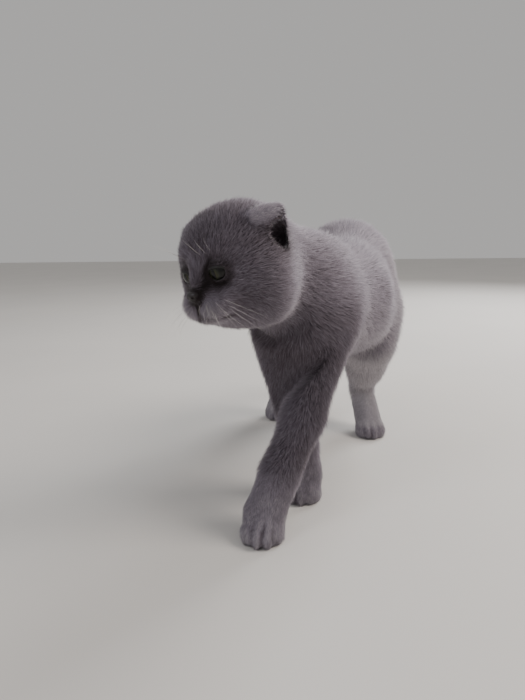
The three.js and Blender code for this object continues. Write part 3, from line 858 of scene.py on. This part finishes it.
def add_eye(side):
    """A whole eyeball with the bulge of its cornea."""
    centre, across, up, aim = eye_frame(side, GAZE)
    deselect()
    bpy.ops.mesh.primitive_uv_sphere_add(segments=64, ring_count=40, radius=EYEBALL, location=centre)
    eye = bpy.context.object
    eye.name = f"eyeball_{side}"
    activate(eye)
    bpy.ops.object.transform_apply(location=True, rotation=True, scale=True)
    for vertex in eye.data.vertices:
        reach = (vertex.co - centre).normalized().dot(aim)
        bulge = max(0.0, (reach - CORNEA["edge"]) / (1 - CORNEA["edge"]))
        vertex.co += aim * (CORNEA["rise"] * bulge * bulge * (3 - 2 * bulge))
    bpy.ops.object.shade_smooth()
    eye.data.materials.append(wet_eye(side))
    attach(eye, "root")
    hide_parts(f"eye_{side}")


def opening_outline(side, steps=40):
    """Points round the eye opening: flat and low above, round below, drawn in at the inner corner."""
    centre, across, up, aim = eye_frame(side)
    half = EYE_OPENING["width"] / 2
    points = []
    for i in range(steps):
        t = 2 * math.pi * i / steps
        x = half * math.cos(t) * SIDES[side]
        rise = EYE_OPENING["above"] if math.sin(t) > 0 else EYE_OPENING["below"]
        y = rise * abs(math.sin(t)) ** 0.85 * (1 if math.sin(t) > 0 else -1)
        y -= EYE_OPENING["inner_drop"] * max(0.0, -math.cos(t)) ** 3
        depth = math.sqrt(max((EYEBALL + 0.5 * MM) ** 2 - x * x - y * y, 0))
        points.append(centre + across * x + up * y + aim * depth)
    return points


def add_lid(side, material):
    """The dark bare rim of the lids, a soft roll round the opening that lies on the eyeball."""
    curve = bpy.data.curves.new(f"lid_rim_{side}", "CURVE")
    curve.dimensions = "3D"
    curve.bevel_depth = LID_ROLL
    curve.bevel_resolution = 3
    points = opening_outline(side)
    spline = curve.splines.new("POLY")
    spline.points.add(len(points) - 1)
    for i, (point, place) in enumerate(zip(spline.points, points)):
        point.co = (*place, 1)
        point.radius = 1.1 + 0.5 * math.sin(2 * math.pi * i / len(points))
    spline.use_cyclic_u = True
    lid = new_piece(f"lid_rim_{side}", curve)
    activate(lid)
    bpy.ops.object.convert(target="MESH")
    lid = bpy.context.object
    bpy.ops.object.shade_smooth()
    lid.data.materials.append(material)
    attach(lid, "root")


def add_nose(material):
    """The nose leather with its nostrils, softened from the CAD form."""
    mesh = merged_copy("nose")
    mesh.materials.append(material)
    nose = new_piece("nose_leather", mesh)
    subdivide = nose.modifiers.new("soften", "SUBSURF")
    subdivide.levels = subdivide.render_levels = 2
    apply_modifiers(nose)
    bpy.ops.object.shade_smooth()
    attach(nose, "root")
    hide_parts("nose")


# Whiskers

def add_whiskers(material):
    """Tapered bent hairs in rows on each whisker pad, with a few above each eye."""
    sections, sides = 9, 4
    points, faces, along = [], [], []
    for start, aim, sag, length, radius in whisker_paths():
        first = len(points)
        across = aim.cross(Vector((0, 0, 1))).normalized()
        over = across.cross(aim).normalized()
        for i in range(sections + 1):
            t = i / sections
            centre = start + aim * (length * t) + sag * (length * t * t)
            thick = radius * (1 - 0.92 * t)
            for j in range(sides):
                turn = 2 * math.pi * j / sides
                points.append(centre + across * (thick * math.cos(turn)) + over * (thick * math.sin(turn)))
                along.append(t)
        for i in range(sections):
            for j in range(sides):
                a = first + i * sides + j
                b = first + i * sides + (j + 1) % sides
                faces.append((a, b, b + sides, a + sides))
        faces.append(tuple(first + j for j in reversed(range(sides))))
        faces.append(tuple(first + sections * sides + j for j in range(sides)))
    mesh = bpy.data.meshes.new("whiskers")
    mesh.from_pydata(points, [], faces)
    store(mesh, "along", along)
    whiskers = new_piece("whiskers", mesh)
    activate(whiskers)
    bpy.ops.object.mode_set(mode="EDIT")
    bpy.ops.mesh.select_all(action="SELECT")
    bpy.ops.mesh.normals_make_consistent(inside=False)
    bpy.ops.object.mode_set(mode="OBJECT")
    bpy.ops.object.shade_smooth()
    mesh.materials.append(material)
    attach(whiskers, "root")


def whisker_roots():
    """Places of the whiskers on the left pad, in rows, in mm in the head's frame."""
    for row in range(3):
        for place in range(4):
            yield 7 + 3.8 * place + row, -53.5 + 3.4 * place + row, -15 - 4 * row


def whisker_paths():
    """Start, aim, sag, length and radius of each whisker and brow hair."""
    draw = np.random.default_rng(21)
    for side in SIDES.values():
        for number, (x, y, z) in enumerate(whisker_roots()):
            row, place = divmod(number, 4)
            angle = math.radians(24 + 15 * place + draw.uniform(-5, 5))
            droop = -0.08 - 0.14 * row + draw.uniform(-0.06, 0.06)
            aim = HEAD_AXES @ Vector((side * math.sin(angle), -math.cos(angle), droop)).normalized()
            sag = HEAD_AXES @ Vector((side * 0.05, 0.34, -0.30))
            length = (24 + 7 * place + draw.uniform(-4, 4)) * MM
            yield on_head(side * x, y, z), aim, sag, length, 0.09 * MM
        for hair in range(3):
            start = on_head(side * (11 + 4 * hair), -41 + hair * 1.8, 18 + hair * 0.6)
            aim = HEAD_AXES @ Vector((side * (0.1 + 0.16 * hair), -0.75, 0.85)).normalized()
            sag = HEAD_AXES @ Vector((side * 0.06, 0.25, -0.30))
            yield start, aim, sag, (40 - 3 * hair) * MM, 0.08 * MM


# Studio

def add_studio():
    deselect()
    bpy.ops.mesh.primitive_plane_add(size=12, location=(0, 0, 0))
    floor = bpy.context.object
    floor.name = "studio_floor"
    floor.data.materials.append(studio_floor())
    world = bpy.data.worlds.new("studio")
    bpy.context.scene.world = world
    world.use_nodes = True
    set_inputs(world.node_tree.nodes["Background"], {"Color": linear("eceae8"), "Strength": 0.55})


def add_light(name, place, target, power, size, colour):
    lamp = bpy.data.lights.new(name, "AREA")
    lamp.energy = power
    lamp.size = size
    lamp.color = linear(colour)[:3]
    light = bpy.data.objects.new(name, lamp)
    bpy.context.scene.collection.objects.link(light)
    light.location = place
    light.rotation_mode = "QUATERNION"
    light.rotation_quaternion = (Vector(target) - Vector(place)).to_track_quat("-Z", "Y")


def add_lights():
    middle = (0, 0, 0.15)
    add_light("key", (1.5, 0.2, 1.5), middle, 30, 0.9, "fff6ee")
    add_light("back", (0.7, 1.7, 1.3), middle, 34, 0.9, "ffffff")
    add_light("fill", (-1.2, -1.7, 1.5), middle, 9, 0.6, "f3f5ff")


def add_camera():
    """The photo's camera, from its place, turn and focal length."""
    yaw, pitch, roll = (math.radians(angle) for angle in (CAMERA_YAW, CAMERA_PITCH, CAMERA_ROLL))
    forward = Vector((-math.sin(yaw) * math.cos(pitch), math.cos(yaw) * math.cos(pitch), math.sin(pitch)))
    level = forward.cross(Vector((0, 0, 1))).normalized()
    upright = level.cross(forward)
    right = level * math.cos(roll) + upright * math.sin(roll)
    up = upright * math.cos(roll) - level * math.sin(roll)
    data = bpy.data.cameras.new("camera")
    data.sensor_width = 36
    data.lens = FOCAL_PIXELS * data.sensor_width / IMAGE_HEIGHT
    data.clip_start = 0.01
    camera = bpy.data.objects.new("camera", data)
    bpy.context.scene.collection.objects.link(camera)
    turn = Matrix((right, up, -forward)).transposed().to_4x4()
    camera.matrix_world = Matrix.Translation(CAMERA_PLACE) @ turn
    bpy.context.scene.camera = camera


add_camera()
add_studio()
add_lights()
dress()
rim = moist_leather("lid_skin", "0e0c0c", "171414", 0.9 * MM, 0.5)
for eye_side in SIDES:
    add_eye(eye_side)
    add_lid(eye_side, rim)
add_nose(moist_leather("nose_skin", "1b1618", "292224", 0.7 * MM, 0.42))
add_whiskers(whisker_hair())
